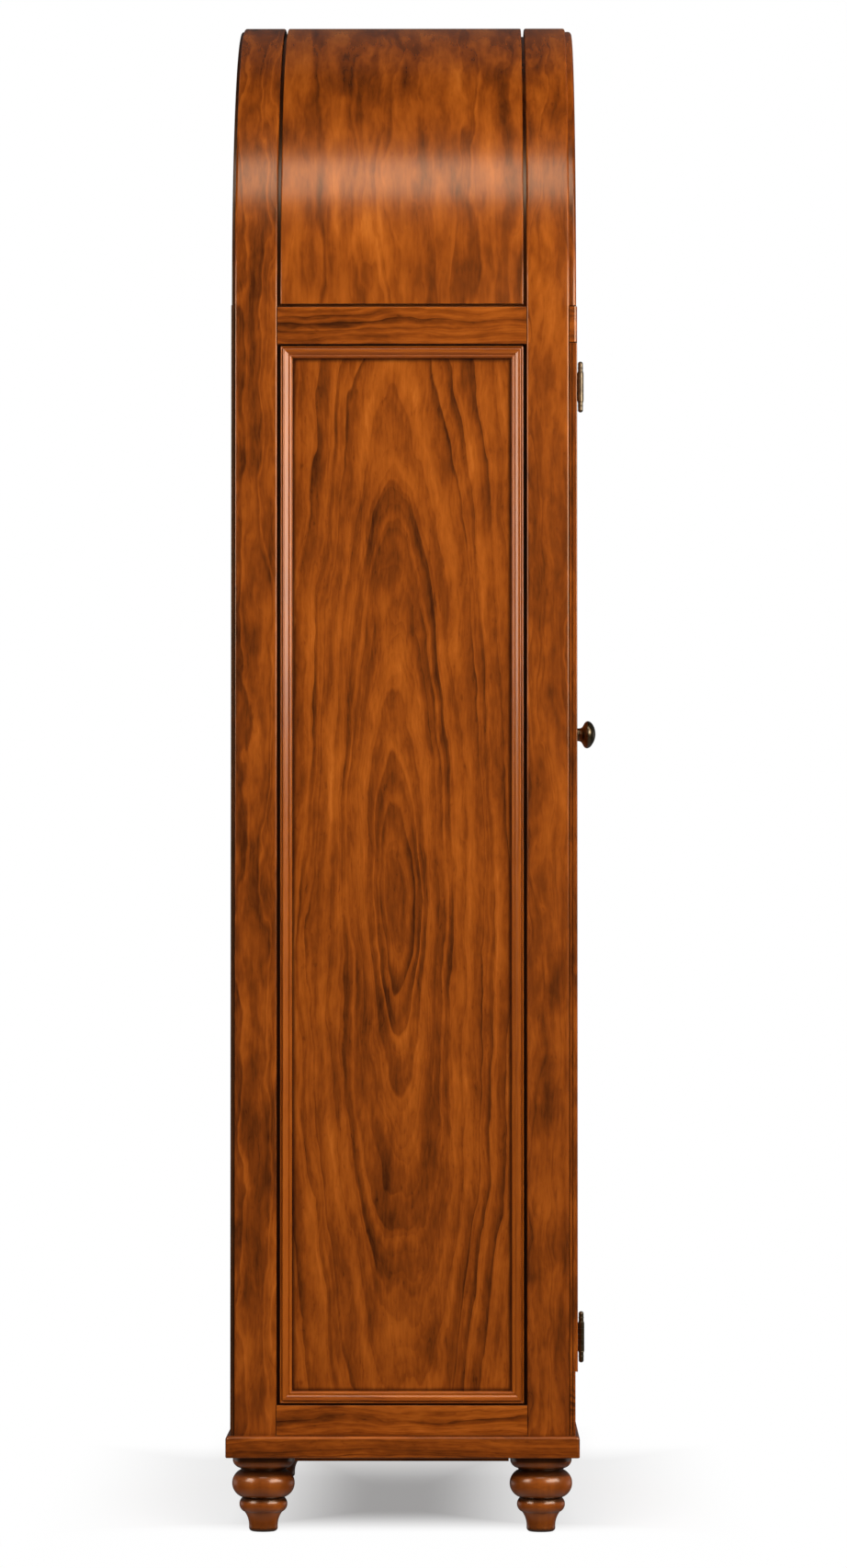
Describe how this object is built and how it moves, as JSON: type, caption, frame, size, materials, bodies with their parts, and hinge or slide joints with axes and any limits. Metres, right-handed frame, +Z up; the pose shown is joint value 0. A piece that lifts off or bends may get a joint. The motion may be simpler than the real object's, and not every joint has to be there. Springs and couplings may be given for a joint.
{
  "type": "storage cabinet",
  "caption": "Tall free-standing cupboard with a barrel-arched top, framed and moulded side panels, hinged doors over shelves, a plinth and turned bun feet.",
  "frame": {"origin": "centre of the cabinet's footprint, knobs included, on the floor under the feet", "axes": "+Z up, the doors face -Y, +X to the right seen from the front"},
  "size_m": [0.86, 0.4857, 2],
  "materials": {
    "stained_wood": "figured hardwood under a warm brown stain and a glossy lacquer",
    "interior_wood": "plain hardwood with a thin satin lacquer",
    "antique_bronze": "dark antique bronze, worn bright along its edges",
    "steel": "zinc-plated steel",
    "catch_plastic": "moulded brown plastic"
  },
  "bodies": {
    "root": {"apron_rail": "stained_wood", "arch_moulding": "stained_wood", "back_arch_rib": "stained_wood", "barrel_panel": "stained_wood", "base_board": "interior_wood", "case_screws": "steel", "ceiling_board": "interior_wood", "foot_back_left": "stained_wood", "foot_back_right": "stained_wood", "foot_bolts": "steel", "foot_front_left": "stained_wood", "foot_front_right": "stained_wood", "frieze_rail": "stained_wood", "front_arch_rib": "stained_wood", "hinge_frame_leaves": "antique_bronze", "hinge_pins": "antique_bronze", "left_back_stile": "stained_wood", "left_bottom_rail": "stained_wood", "left_face_stile": "stained_wood", "left_front_stile": "stained_wood", "left_mid_rail": "stained_wood", "left_side_moulding": "stained_wood", "left_side_panel": "stained_wood", "lower_back_panel": "stained_wood", "magnetic_catches": "catch_plastic", "plinth_back": "stained_wood", "plinth_front": "stained_wood", "plinth_left": "stained_wood", "plinth_right": "stained_wood", "right_back_stile": "stained_wood", "right_bottom_rail": "stained_wood", "right_face_stile": "stained_wood", "right_front_stile": "stained_wood", "right_mid_rail": "stained_wood", "right_side_moulding": "stained_wood", "right_side_panel": "stained_wood", "shelf_lower": "interior_wood", "shelf_middle": "interior_wood", "shelf_pins": "steel", "shelf_upper": "interior_wood", "tympanum_panel": "stained_wood", "upper_back_panel": "stained_wood"},
    "left_door": {"left_door_bottom_rail": "stained_wood", "left_door_hinge_leaves": "antique_bronze", "left_door_hinge_stile": "stained_wood", "left_door_knob": "antique_bronze", "left_door_meeting_stile": "stained_wood", "left_door_moulding": "stained_wood", "left_door_panel": "stained_wood", "left_door_strikes": "steel", "left_door_top_rail": "stained_wood"},
    "right_door": {"right_door_bottom_rail": "stained_wood", "right_door_hinge_leaves": "antique_bronze", "right_door_hinge_stile": "stained_wood", "right_door_knob": "antique_bronze", "right_door_meeting_stile": "stained_wood", "right_door_moulding": "stained_wood", "right_door_panel": "stained_wood", "right_door_strikes": "steel", "right_door_top_rail": "stained_wood"}
  },
  "joints": [
    {"name": "left_door_hinge", "type": "hinge", "parent": "root", "child": "left_door", "pos_m": [-0.379, -0.21465, 0.87], "axis": [0, 0, -1], "range_deg": [0, 170]},
    {"name": "right_door_hinge", "type": "hinge", "parent": "root", "child": "right_door", "pos_m": [0.379, -0.21465, 0.87], "axis": [0, 0, 1], "range_deg": [0, 170]}
  ]
}
